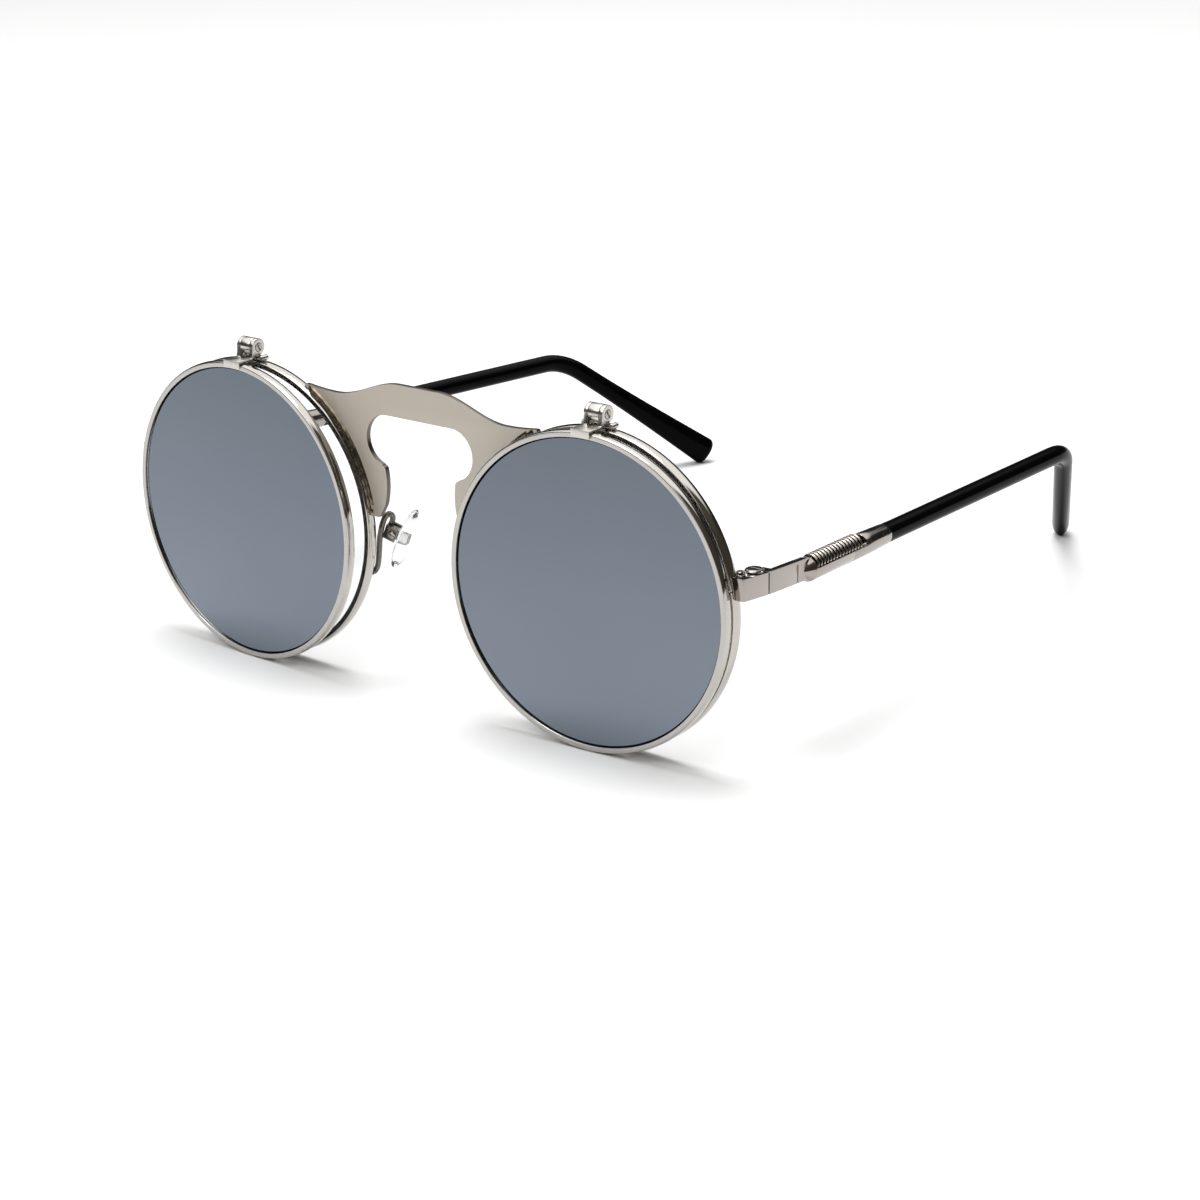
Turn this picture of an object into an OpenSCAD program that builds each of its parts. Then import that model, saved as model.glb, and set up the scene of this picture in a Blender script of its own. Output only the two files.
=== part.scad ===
// Round flip-up sunglasses: a wire-rimmed frame with clear lenses, a second pair of
// mirrored lenses that flip up on two top hinges, and temples with a coil spring set in.
// +Y runs back towards the ears, +Z is up, and +X is the wearer's left. The glasses stand
// on their rims and temple tips, with the origin in the middle of their footprint.

/* [Rims and lenses] */
// Diameter of the mirrored lens that shows inside the flip rim
lens_view_d = 49.5; // [46.5:0.5:52]
// Distance between the centres of the two eyes
eye_spacing = 73.4; // [71:0.2:77]
// Width of the flip rim, seen from the front
flip_rim_w = 1.05; // [0.9:0.05:1.3]
// Depth of the flip rim, front to back
flip_rim_depth = 1.7; // [1.6:0.05:2.2]
// How far the flip rim's lip stands in front of its lens
flip_lip = 0.45; // [0.35:0.05:0.6]
// Thickness of the mirrored lens
flip_lens_t = 0.9; // [0.7:0.05:1]
// Width of the fixed rim, seen from the front
fixed_rim_w = 1.2; // [1:0.05:1.4]
// Depth of the fixed rim, front to back
fixed_rim_depth = 2; // [1.8:0.05:2.4]
// Thickness of the clear lens
fixed_lens_t = 1.5; // [1.2:0.1:1.6]
// Depth of the groove that holds each lens
groove_depth = 0.45; // [0.35:0.05:0.5]
// Radius of the rims' rounded edges
rim_edge_r = 0.3; // [0.15:0.05:0.4]
// Gap between the flip rim and the fixed rim, at the middle of the eye
flip_gap = 1.95; // [1.9:0.05:2.6]
// Angle by which each flip rim turns round the face
flip_wrap = 3.2; // [2:0.1:3.6]

/* [Bridge plate] */
// Thickness of the plate
plate_t = 0.9; // [0.8:0.1:1.4]
// How far the plate's face lies behind the fixed rim's face
plate_setback = 0.75; // [0.4:0.05:0.8]
// Height of the plate's top edge above the middle of the eyes
plate_top_h = 26; // [25:0.1:27]
// Height of the low part of the top edge, above the middle of the eyes
plate_dip_h = 22.7; // [22:0.1:23.5]
// Height of the top of the nose opening, above the middle of the eyes
opening_top_h = 20.5; // [19.5:0.1:21.5]
// Radius of the nose opening's round ends
opening_r = 4.3; // [3.6:0.1:4.6]
// Width of the nose opening
opening_w = 22.4; // [20:0.1:23]
// Distance between the plate's two arms below the opening
arm_gap = 14.4; // [13:0.1:15.4]
// Height at which the arms end, above the middle of the eyes
arm_end_h = 2.9; // [1:0.1:6]

/* [Flip hinges] */
// Height of the flip hinge's axis above the fixed rim's top
flip_axis_h = 2.1; // [2:0.05:2.5]
// How far the flip hinge's axis lies behind the fixed rim's face
flip_axis_setback = 0.8; // [0.5:0.05:1.2]
// Radius of the hinge's round ears
ear_r = 1.45; // [1.2:0.05:1.5]
// Thickness of each ear
ear_t = 0.7; // [0.5:0.05:0.8]
// Width of the fixed knuckle between the ears
flip_knuckle_w = 2; // [1.8:0.1:2.6]
// Radius of the flip hinge's pin
flip_pin_r = 0.7; // [0.5:0.05:0.8]
// Length of the fixed knuckle's foot along the rim
flip_foot_w = 6.1; // [6:0.1:7]

/* [End pieces and temple hinges] */
// Height of the temple hinge's middle above the middle of the eyes
hinge_h = 4.4; // [3:0.1:7]
// Height of the end piece and of the temple's hinge block
block_h = 3.5; // [3:0.1:4]
// How much higher the end piece starts at the rim than it ends at the hinge
end_piece_rise = 0.6; // [0:0.1:1]
// Distance from the fixed rim's side to the end piece's outer face
end_piece_reach = 2; // [1.8:0.1:3]
// Thickness of the end piece's walls
end_piece_t = 1.1; // [0.9:0.05:1.1]
// Distance from the fixed rim's face to the split between end piece and temple
split_setback = 6.4; // [6.2:0.1:8]
// Radius of the temple hinge's knuckles
knuckle_r = 1.15; // [1:0.05:1.2]
// Distance of the temple hinge's axis in from the outer face
hinge_inset = 1.8; // [1.75:0.05:2]
// Radius of the temple hinge's screw
hinge_screw_r = 0.55; // [0.4:0.05:0.6]
// Radius of the temple hinge screw's head
hinge_head_r = 1.5; // [1.2:0.05:1.6]
// Height of the screw heads
head_h = 0.65; // [0.3:0.05:0.75]

/* [Temples] */
// Angle by which each temple runs inwards
temple_in = 3.5; // [0:0.1:4]
// Angle by which each temple runs down
temple_down = 2.2; // [1:0.05:3]
// Length of the temple's flat front plate
block_l = 11; // [9.6:0.1:11.2]
// Thickness of the temple's flat front plate
block_t = 1.1; // [0.9:0.05:1.3]
// How far the round part of the temple lies below the middle of its flat plate
rod_drop = 0.8; // [0:0.05:0.9]
// Length from the split to the spring
spring_start = 12.2; // [12:0.1:14]
// Length of the spring between its two seats
spring_l = 15.6; // [14.4:0.1:17]
// Number of turns in the spring
spring_turns = 15; // [10:0.5:15]
// Diameter of the spring's wire
spring_wire_d = 0.48; // [0.3:0.02:0.48]
// Outer radius of the spring
spring_r = 1.7; // [1.6:0.01:1.75]
// Outer radius of the trough that the spring lies in
trough_r = 1.95; // [1.9:0.01:2.1]
// Length of the sleeve behind the spring
sleeve_l = 8.2; // [6:0.1:12]
// Radius of the sleeve at its back end
sleeve_end_r = 1.75; // [1.65:0.01:1.85]
// Radius of the core wire
core_r = 0.45; // [0.35:0.05:0.5]
// Length from the split to the bend behind the ear
bend_l = 101.8; // [90:0.5:110]
// Radius of the bend behind the ear
bend_r = 14; // [8:0.5:16]
// How far the tip runs back behind the bend
tip_back = 30.3; // [22:0.1:32]
// How far the tip runs inwards behind the bend
tip_in = 13.8; // [8:0.1:16]
// Thickness of the tip
tip_t = 3.3; // [2.8:0.1:3.4]
// Width of the tip's paddle end
paddle_w = 5.6; // [4.4:0.1:6.5]

/* [Nose pads] */
// Height of a nose pad
pad_h = 11; // [10:0.1:13]
// Width of a nose pad
pad_w = 6.8; // [5.5:0.1:7.2]
// Thickness of a nose pad
pad_t = 2.2; // [1.8:0.1:2.4]
// How far each pad's middle stands in from its rim, towards the nose
pad_reach = 2.8; // [2.2:0.1:3.1]
// Depth of the pads' middle behind the fixed rim's face
pad_setback = 5.8; // [5.4:0.1:6.6]
// Height of the pads' middle below the middle of the eyes
pad_drop = 1.8; // [0:0.1:4]
// Radius of the pad arm's wire
arm_r = 0.5; // [0.4:0.05:0.6]

/* [Hidden] */

$fn = 48;
rim_fn = 180;

// Clearances
braze_gap = 0.02;     // between two pieces brazed round against round
lens_gap = 0.04;      // between a lens edge and its groove
pin_gap = 0.05;       // between a pin and its bore
knuckle_gap = 0.08;   // between two knuckles of one hinge
split_gap = 0.25;     // between the end piece and the temple

// Rims. Depths are counted back from the mirrored lens's face at the middle of the eye.
eye_x = eye_spacing / 2;
lens_r = lens_view_d / 2;
flip_r = lens_r + flip_rim_w;
fixed_r = flip_r - 0.1;
fixed_lens_r = fixed_r - fixed_rim_w;
eye_z = flip_r;
flip_back = flip_rim_depth - flip_lip;
fixed_front = flip_back + flip_gap;
fixed_back = fixed_front + fixed_rim_depth;

// Flip hinge
flip_axis_y = fixed_front + flip_axis_setback;
flip_axis_z = fixed_r + flip_axis_h;
ear_x = flip_knuckle_w / 2 + knuckle_gap;
clevis_half = ear_x + ear_t;
clevis_sheet = 0.4;
clevis_front = -flip_lip - 0.3;
clevis_foot_back = fixed_front - 0.25;

// End piece and temple hinge, on the wearer's left
hinge_z = eye_z + hinge_h;
outer_x = eye_x + sqrt(fixed_r * fixed_r - hinge_h * hinge_h) + end_piece_reach;
hinge_x = outer_x - hinge_inset;
split_y = fixed_front + split_setback;
hinge_y = split_y - knuckle_r;
layer_h = (block_h - 2 * knuckle_gap) / 3;

// Temple
temple_axis_x = outer_x - 0.5;
spring_lift = 0.55;
trough_edge = 0.4;
core_lift = 0.2;
sleeve_start = spring_start + spring_l;
sleeve_end = sleeve_start + sleeve_l;
core_reach = 16;      // how far the core wire runs into the tip

// Tip: stations along it, from the sleeve to its rounded end
tip_sides = 20;
tip_front = [0, 8, 24];
tip_front_end = 12;
tip_bend_steps = 8;
tip_flare = [0.32, 0.46, 0.6, 0.74, 0.87, 1];
tip_end_angles = [25, 45, 60, 72, 82, 90];
tip_bend_last = len(tip_front) + 1 + tip_bend_steps;
tip_flare_last = tip_bend_last + len(tip_flare);
tip_swell = 0.1;
tip_round = 1.3;

// Vector helpers
function unit(v) = v / norm(v);
function turn_z(p, a) = [p[0] * cos(a) - p[1] * sin(a), p[0] * sin(a) + p[1] * cos(a), p[2]];
function turn_x(p, a) = [p[0], p[1] * cos(a) - p[2] * sin(a), p[1] * sin(a) + p[2] * cos(a)];
function arc(c, r, from, to, steps) = [
    for (i = [0:steps]) let(a = from + (to - from) * i / steps) c + r * [cos(a), sin(a)]
];

// Direction of a path at one of its points
function heading(path, i) = unit(path[min(i + 1, len(path) - 1)] - path[max(i - 1, 0)]);

// One ring of points round a path: sizes are half width along "up" and half thickness
function ring(path, i, size, sides, up) =
    let(t = heading(path, i), w = unit(up - (up * t) * t), s = cross(t, w))
    [
        for (k = [0:sides - 1]) let(a = 360 * k / sides)
            path[i] + w * size[0] * cos(a) + s * size[1] * sin(a)
    ];

// Points of a curve through the given points, with the given number of steps a span
function curve_point(p0, p1, p2, p3, t) = 0.5 * (
    2 * p1 + (p2 - p0) * t
    + (2 * p0 - 5 * p1 + 4 * p2 - p3) * t * t
    + (3 * p1 - p0 - 3 * p2 + p3) * t * t * t
);
function smooth(p, steps) = [
    for (i = [0:len(p) - 2]) for (k = [0:steps - 1])
        curve_point(p[max(i - 1, 0)], p[i], p[i + 1], p[min(i + 2, len(p) - 1)], k / steps),
    p[len(p) - 1]
];

// Closed skin over a row of rings, with a fan of triangles at each end
module skin(rings) {
    sides = len(rings[0]);
    last = len(rings) - 1;
    points = [for (r = rings) for (p = r) p];
    walls = [
        for (i = [0:last - 1]) for (k = [0:sides - 1])
            let(a = i * sides + k, b = i * sides + (k + 1) % sides)
            each [[a, a + sides, b], [b, a + sides, b + sides]]
    ];
    near_end = [for (k = [1:sides - 2]) [0, k, k + 1]];
    far_end = [for (k = [1:sides - 2]) [last * sides, last * sides + k + 1, last * sides + k]];
    polyhedron(points = points, faces = concat(walls, near_end, far_end));
}

// Path and sizes of the black tip, in the temple's own frame: +Y along the temple
function tip_heading(drop) = unit([-tip_in, tip_back, -drop]);
function tip_bend(drop) = acos(tip_heading(drop)[1]);
function tip_path(drop) =
    let(
        d = tip_heading(drop),
        bend = tip_bend(drop),
        cut = bend_r * tan(bend / 2),
        corner = [0, bend_l, 0],
        side = unit([d[0], 0, d[2]]),
        reach = norm([tip_in, tip_back, drop])
    )
    concat(
        [for (s = tip_front) [0, sleeve_end + s, 0]],
        [[0, bend_l - cut - tip_front_end, 0]],
        [
            for (i = [0:tip_bend_steps]) let(a = bend * i / tip_bend_steps)
                corner + [0, bend_r * sin(a) - cut, 0] + side * bend_r * (1 - cos(a))
        ],
        [for (s = tip_flare) corner + d * (reach - tip_round) * s],
        [for (a = tip_end_angles) corner + d * (reach - tip_round * (1 - sin(a)))]
    );

// Half width and half thickness of the tip at each station: a seat for the sleeve, a nearly
// even rod, a flare to the paddle, and the rounded end
function tip_seat() = [sleeve_end_r - 0.06, sleeve_end_r - 0.06];
function tip_rod(i) = [tip_t / 2 + tip_swell * i / tip_bend_last, tip_t / 2];
function tip_paddle(u) =
    let(w = tip_t / 2 + tip_swell)
    [w + (paddle_w / 2 - w) * u * u * (1.6 - 0.6 * u), tip_t / 2];
function tip_end(a) = [paddle_w / 2 * (1 - 0.55 * (1 - cos(a))), tip_t / 2 * (1 - 0.75 * (1 - cos(a)))];
function tip_size(i) =
    i == 0 ? tip_seat()
    : i <= tip_bend_last ? tip_rod(i)
    : i <= tip_flare_last ? tip_paddle((i - tip_bend_last) / len(tip_flare))
    : tip_end(tip_end_angles[i - tip_flare_last - 1]);
function tip_rings(drop) =
    let(path = tip_path(drop))
    [for (i = [0:len(path) - 1]) ring(path, i, tip_size(i), tip_sides, [0, 0, 1])];

// A point of the temple's frame, moved to the frame of the whole glasses
temple_origin = [temple_axis_x, split_y, hinge_z - rod_drop];
function in_glasses(p) = turn_z(turn_x(p, -temple_down), temple_in) + temple_origin;
function lowest(rings) = min([for (r = rings) for (p = r) in_glasses(p)[2]]);
function rearmost(rings) = max([for (r = rings) for (p = r) in_glasses(p)[1]]);

// The tip comes down until it stands on the same floor as the rims
first_drop = in_glasses([0, bend_l + tip_back, 0])[2] - 0.4 * paddle_w;
second_drop = first_drop + lowest(tip_rings(first_drop));
tip_drop = second_drop + lowest(tip_rings(second_drop));

// Middle of the footprint, front to back
foremost = -flip_lip * cos(flip_wrap) - flip_r * sin(flip_wrap);
front_y = -(rearmost(tip_rings(tip_drop)) + foremost) / 2;

// Puts a piece that is drawn for the wearer's left on either side: s is 1 or -1
module on_side(s) translate([0, front_y, 0]) mirror([s < 0 ? 1 : 0, 0, 0]) children();
module at_eye(s) on_side(s) translate([eye_x, 0, eye_z]) children();
module at_temple(s) on_side(s) translate(temple_origin) rotate([-temple_down, 0, temple_in]) children();

// Turns a profile of radius against depth round the lens's axis
module lathe(depth = 0) translate([0, depth, 0]) rotate([-90, 0, 0]) rotate_extrude($fn = rim_fn) children();

// A disc or rod whose axis runs along Y or X
module rod_y(r, l) rotate([-90, 0, 0]) cylinder(r = r, h = l);
module rod_x(r, l) rotate([0, 90, 0]) cylinder(r = r, h = l, center = true);

// Rim profile: radii, depth, and the middle depth and opening of its V groove for the lens
module rim_profile(inner, outer, depth, groove_mid, groove_open) {
    e = rim_edge_r;
    polygon(concat(
        arc([outer - e, e], e, -90, 0, 4),
        arc([outer - e, depth - e], e, 0, 90, 4),
        [[inner, depth]],
        [
            [inner, groove_mid + groove_open / 2],
            [inner + groove_depth, groove_mid],
            [inner, groove_mid - groove_open / 2]
        ],
        [[inner, e / 2], [inner + e / 2, 0]]
    ));
}

// Lens profile: flat faces, and a V edge that fits the groove
module lens_profile(r, t) polygon([
    [0, 0], [r - lens_gap, 0], [r + groove_depth - 2 * lens_gap, t / 2], [r - lens_gap, t], [0, t]
]);

module rear_rim(s) color("silver") at_eye(s) difference() {
    lathe(fixed_front) rim_profile(fixed_lens_r, fixed_r, fixed_rim_depth, fixed_rim_depth / 2, fixed_lens_t);
    // The rim is split beside the end piece, where the closing screw pulls it shut
    translate([fixed_lens_r - 1, fixed_front - 1, hinge_h - split_gap / 2])
        cube([fixed_rim_w + 2, fixed_rim_depth + 2, split_gap]);
}

module clear_lens(s) color([0.9, 0.95, 0.97, 0.35]) at_eye(s)
    lathe(fixed_front + (fixed_rim_depth - fixed_lens_t) / 2)
        lens_profile(fixed_lens_r, fixed_lens_t);

// Right half of the bridge plate's outline, from the middle of its top edge and round
plate_blend_start = 4;
plate_blend_end = 18;
horn_end_x = eye_x - 12.2;
horn_rise = 0.012;
opening_x = opening_w / 2 - opening_r;
opening_z = opening_top_h - opening_r;
arm_x = arm_gap / 2;
arm_bulge_z = opening_z - opening_r - 2.9;
function plate_top(x) =
    let(u = max(0, min(1, (x - plate_blend_start) / (plate_blend_end - plate_blend_start))))
    plate_top_h - (plate_top_h - plate_dip_h) * (1 - cos(180 * u)) / 2
    + horn_rise * pow(max(0, x - plate_blend_end), 2);
function arm_edge(z) = arm_x + 0.04 * pow(z - arm_bulge_z, 2);
tab_r = 0.7;
tab_z = opening_z - opening_r - tab_r;
half_plate = concat(
    [for (x = [0:1:floor(horn_end_x)]) [x, plate_top(x)]],
    [[horn_end_x, plate_top(horn_end_x) - 0.1], [horn_end_x + 0.25, plate_top(horn_end_x) - 0.5]],
    [[horn_end_x, plate_top(horn_end_x) - 3], [arm_x + 6, arm_end_h + 6], [arm_x + 5, arm_end_h]],
    arc([arm_edge(arm_end_h) + 0.8, arm_end_h + 0.8], 0.8, -90, -180, 4),
    [for (u = [0.2:0.2:1]) let(z = arm_end_h + 0.8 + (tab_z - arm_end_h - 0.8) * u) [arm_edge(z), z]],
    arc([arm_edge(tab_z) + tab_r, tab_z], tab_r, 170, 90, 4),
    arc([opening_x, opening_z], opening_r, -acos((arm_edge(tab_z) + tab_r - opening_x) / opening_r), 90, 14)
);

other_half_plate = [for (i = [len(half_plate) - 1:-1:1]) [-half_plate[i][0], half_plate[i][1]]];

// Fillets of braze fill the corners between the plate's face and the two rims
fillet_w = 1.3;
fillet_h = 0.8 * plate_setback;
fillet_profile = [
    [fixed_r, 0], [fixed_r + fillet_w, 0], [fixed_r + fillet_w, plate_t / 2],
    [fixed_r + fillet_w / 2, plate_t / 2 + 0.7 * fillet_h], [fixed_r, plate_t / 2 + fillet_h]
];
plate_outline = concat(half_plate, other_half_plate);
module bridge_plate() color([0.76, 0.73, 0.70])
    translate([0, front_y + fixed_front + plate_setback + plate_t, eye_z]) rotate([90, 0, 0]) difference() {
        union() {
            linear_extrude(plate_t) polygon(plate_outline);
            intersection() {
                linear_extrude(plate_t + fillet_h) polygon(plate_outline);
                for (s = [-1, 1]) translate([s * eye_x, 0, plate_t / 2])
                    rotate_extrude($fn = rim_fn) polygon(fillet_profile);
            }
        }
        for (s = [-1, 1]) translate([s * eye_x, 0, -1])
            cylinder(r = fixed_r + braze_gap, h = plate_t + fillet_h + 2, $fn = rim_fn);
    }

// L-shaped bracket brazed to the rim's side, with the top and bottom hinge knuckles
corner_r = 0.55;
end_piece_front_t = 1.4;
end_piece_in = hinge_x - 3;
module end_piece(s) color([0.80, 0.79, 0.77]) on_side(s) difference() {
    union() {
        intersection() {
            translate([0, 0, hinge_z - block_h]) linear_extrude(3 * block_h) polygon(concat(
                [[end_piece_in, fixed_front]],
                arc([outer_x - corner_r, fixed_front + corner_r], corner_r, -90, 0, 5),
                [[outer_x, split_y], [outer_x - end_piece_t, split_y]],
                [[outer_x - end_piece_t, fixed_front + end_piece_front_t]],
                [[end_piece_in, fixed_front + end_piece_front_t]]
            ));
            rotate([90, 0, 90]) linear_extrude(2 * outer_x) polygon([
                [fixed_front, hinge_z + block_h / 2 + end_piece_rise], [split_y, hinge_z + block_h / 2],
                [split_y, hinge_z - block_h / 2], [fixed_front, hinge_z - block_h / 2 + end_piece_rise]
            ]);
        }
        for (z = [hinge_z - block_h / 2, hinge_z + block_h / 2 - layer_h]) translate([hinge_x, hinge_y, z]) {
            cylinder(r = knuckle_r, h = layer_h);
            translate([0, -knuckle_r, 0]) cube([hinge_inset - end_piece_t / 2, 2 * knuckle_r, layer_h]);
        }
    }
    translate([hinge_x, hinge_y, hinge_z - block_h]) cylinder(r = hinge_screw_r + pin_gap, h = 2 * block_h);
    translate([hinge_x, hinge_y, hinge_z + block_h / 2]) cylinder(r = hinge_head_r + 0.1, h = block_h);
    translate([hinge_x, hinge_y, hinge_z - layer_h / 2 - knuckle_gap])
        cylinder(r = knuckle_r + 0.1, h = layer_h + 2 * knuckle_gap);
    translate([hinge_x - knuckle_r - 0.1, hinge_y, hinge_z - layer_h / 2 - knuckle_gap])
        cube([knuckle_r + 0.3, knuckle_r + 1, layer_h + 2 * knuckle_gap]);
    translate([eye_x, 0, eye_z]) rod_y(fixed_r + braze_gap, fixed_back + 2, $fn = rim_fn);
}

// Two small barrels on the back of the rim, one each side of its split
barrel_r = 0.8;
barrel_h = 1.9;
barrel_x = eye_x + sqrt(fixed_r * fixed_r - hinge_h * hinge_h) - 0.6;
barrel_y = fixed_back + barrel_r;
closing_screw_r = 0.35;
barrel_levels = [hinge_z + split_gap / 2, hinge_z - split_gap / 2 - barrel_h];
module closing_barrels(s) color("silver") on_side(s) for (z = barrel_levels)
    translate([barrel_x, barrel_y, z]) difference() {
        union() {
            cylinder(r = barrel_r, h = barrel_h);
            translate([-barrel_r, -barrel_r, 0]) cube([2 * barrel_r, barrel_r, barrel_h]);
        }
        translate([0, 0, -1]) cylinder(r = closing_screw_r + pin_gap / 2, h = barrel_h + 2);
    }

module slotted_head(r, h, slot) difference() {
    union() {
        cylinder(r = r, h = h * 0.6);
        translate([0, 0, h * 0.6]) cylinder(r1 = r, r2 = r * 0.85, h = h * 0.4);
    }
    translate([-r - 1, -slot / 2, h * 0.5]) cube([2 * r + 2, slot, h]);
}

module closing_screws() color("gray") for (s = [-1, 1]) on_side(s)
    translate([barrel_x, barrel_y, hinge_z + split_gap / 2 + barrel_h]) {
        translate([0, 0, -2 * barrel_h - split_gap])
            cylinder(r = closing_screw_r, h = 2 * barrel_h + split_gap);
        slotted_head(barrel_r * 0.85, head_h * 0.7, 0.18);
    }

module temple_hinge_screws() color("gainsboro") for (s = [-1, 1]) on_side(s)
    translate([hinge_x, hinge_y, hinge_z + block_h / 2]) {
        translate([0, 0, -block_h]) cylinder(r = hinge_screw_r, h = block_h);
        slotted_head(hinge_head_r, head_h, 0.35);
    }

// Fixed half of the flip hinge: a foot brazed along the rim's top, with a barrel on a neck
foot_t = 0.45;
foot_front = fixed_front + 0.3;
foot_back = fixed_back - 0.15;
knob_r = 0.5;
knob_rise = 0.3;
knob_x = flip_foot_w / 2 - knob_r;
module flip_knuckle(s) color("silver") at_eye(s) difference() {
    union() {
        translate([-knob_x, foot_front, fixed_r - 1]) cube([2 * knob_x, foot_back - foot_front, 1 + foot_t]);
        for (x = [-knob_x, knob_x]) translate([x, foot_front, fixed_r + knob_rise])
            rod_y(knob_r, foot_back - foot_front);
        translate([-flip_knuckle_w / 2, flip_axis_y - ear_r / 2, fixed_r])
            cube([flip_knuckle_w, ear_r, flip_axis_h]);
        translate([0, flip_axis_y, flip_axis_z]) rod_x(ear_r, flip_knuckle_w);
    }
    rod_y(fixed_r + braze_gap, fixed_back + 2, $fn = rim_fn);
    translate([0, flip_axis_y, flip_axis_z]) rod_x(flip_pin_r + pin_gap / 2, 2 * flip_knuckle_w);
}

// Pin with a screwdriver slot across each end
pin_slot_w = 0.25;
pin_slot_depth = 0.2;
pin_end_x = clevis_half + 0.05;
module flip_pins() color("gray") for (s = [-1, 1]) at_eye(s)
    translate([0, flip_axis_y, flip_axis_z]) difference() {
        rod_x(flip_pin_r, 2 * pin_end_x);
        for (x = [-pin_end_x, pin_end_x]) translate([x, 0, 0]) rotate([30, 0, 0])
            cube([2 * pin_slot_depth, pin_slot_w, 4], center = true);
    }

// Swinging half of the flip hinge: bent sheet over the flip rim's lip, with two round ears
module flip_clevis(s) color("silver") at_eye(s) difference() {
    union() {
        translate([-clevis_half, clevis_front, flip_r - 0.2])
            cube([2 * clevis_half, clevis_foot_back - clevis_front, 0.2 + clevis_sheet]);
        translate([-clevis_half, clevis_front, flip_r - flip_rim_w * 0.8])
            cube([2 * clevis_half, -flip_lip - clevis_front, flip_rim_w * 0.8 + clevis_sheet]);
        for (m = [0, 1]) mirror([m, 0, 0]) translate([ear_x, 0, 0]) {
            translate([ear_t / 2, flip_axis_y, flip_axis_z]) rod_x(ear_r, ear_t);
            rotate([90, 0, 90]) linear_extrude(ear_t) polygon([
                [flip_axis_y - ear_r - 0.15, flip_r + clevis_sheet * 0.5],
                [flip_axis_y - ear_r, flip_axis_z],
                [flip_axis_y, flip_axis_z],
                [flip_axis_y - ear_r * 0.5, flip_axis_z - ear_r * 0.86],
                [clevis_foot_back, flip_r + clevis_sheet * 0.5]
            ]);
        }
    }
    rotate([0, 0, flip_wrap]) translate([0, -flip_lip - braze_gap, 0])
        rod_y(flip_r + braze_gap, flip_axis_y, $fn = rim_fn);
    translate([0, flip_axis_y, flip_axis_z]) rod_x(flip_pin_r + pin_gap, 4 * clevis_half);
}

module flip_rim(s) color("silver") at_eye(s) rotate([0, 0, flip_wrap])
    lathe(-flip_lip) rim_profile(lens_r, flip_r, flip_rim_depth, flip_lip + flip_lens_t / 2, flip_lens_t);

module mirror_lens(s) color([0.45, 0.49, 0.53]) at_eye(s) rotate([0, 0, flip_wrap])
    lathe(0) lens_profile(lens_r, flip_lens_t);

// Temple front: hinge leaf, flat plate with a groove, round collar and spring trough
leaf_l = 3.2;
leaf_h = 2.6;
mark_w = 0.25;
mark_depth = 0.2;
mark_y = block_l - 2.7;
mark_h = 1.25 * block_h;
plate_in = 2;
plate_end_z = 0.45 * rod_drop;
plate_start_z = rod_drop + (rod_drop - plate_end_z) * plate_in / block_l;
plate_end_half = 0.94 * trough_r;
collar_y = block_l - 0.8;
collar_l = 1.7;
collar_edge = 0.3;
seam_y = spring_start + spring_l * 0.72;
module temple_block(s) color([0.80, 0.79, 0.77]) {
    difference() {
        at_temple(s) union() {
            rotate([90, 0, 90]) linear_extrude(block_t, center = true) polygon([
                [-plate_in, plate_start_z + block_h / 2], [block_l, plate_end_z + block_h / 2],
                [spring_start, plate_end_half], [spring_start, -plate_end_half],
                [block_l, plate_end_z - block_h / 2], [-plate_in, plate_start_z - block_h / 2]
            ]);
            translate([hinge_x - knuckle_r - temple_axis_x, -plate_in, rod_drop - leaf_h / 2])
                cube([temple_axis_x - hinge_x + knuckle_r, leaf_l + plate_in, leaf_h]);
            lathe(0) polygon([
                [0, collar_y], [block_t / 2, collar_y],
                [trough_r - collar_edge, collar_y + collar_l - collar_edge],
                [trough_r, collar_y + collar_l], [trough_r, seam_y], [0, seam_y]
            ]);
        }
        at_temple(s) spring_channel(spring_start, seam_y + 1);
        on_side(s) translate([outer_x - 5, split_y + split_gap - 10, hinge_z - block_h])
            cube([10, 10, 2 * block_h]);
        at_temple(s) translate([block_t / 2 - mark_depth, mark_y, rod_drop - block_h])
            cube([1, mark_w, mark_h]);
        at_temple(s) translate([0, block_l, core_lift]) rod_y(core_r + pin_gap, spring_l);
    }
    on_side(s) difference() {
        translate([hinge_x, hinge_y, hinge_z - layer_h / 2]) {
            cylinder(r = knuckle_r, h = layer_h);
            translate([-knuckle_r, 0, 0])
                cube([knuckle_r + 0.2, split_y + split_gap - hinge_y + 0.3, layer_h]);
        }
        translate([hinge_x, hinge_y, hinge_z - block_h])
            cylinder(r = hinge_screw_r + pin_gap, h = 2 * block_h);
    }
}

// Space for the spring, cut into a rod so that the spring lies in a trough, open above
module spring_channel(from, to) {
    translate([0, from, spring_lift]) rod_y(spring_r + 0.05, to - from);
    translate([-2 * trough_r, from, trough_edge]) cube([4 * trough_r, to - from, 3 * trough_r]);
}

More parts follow.
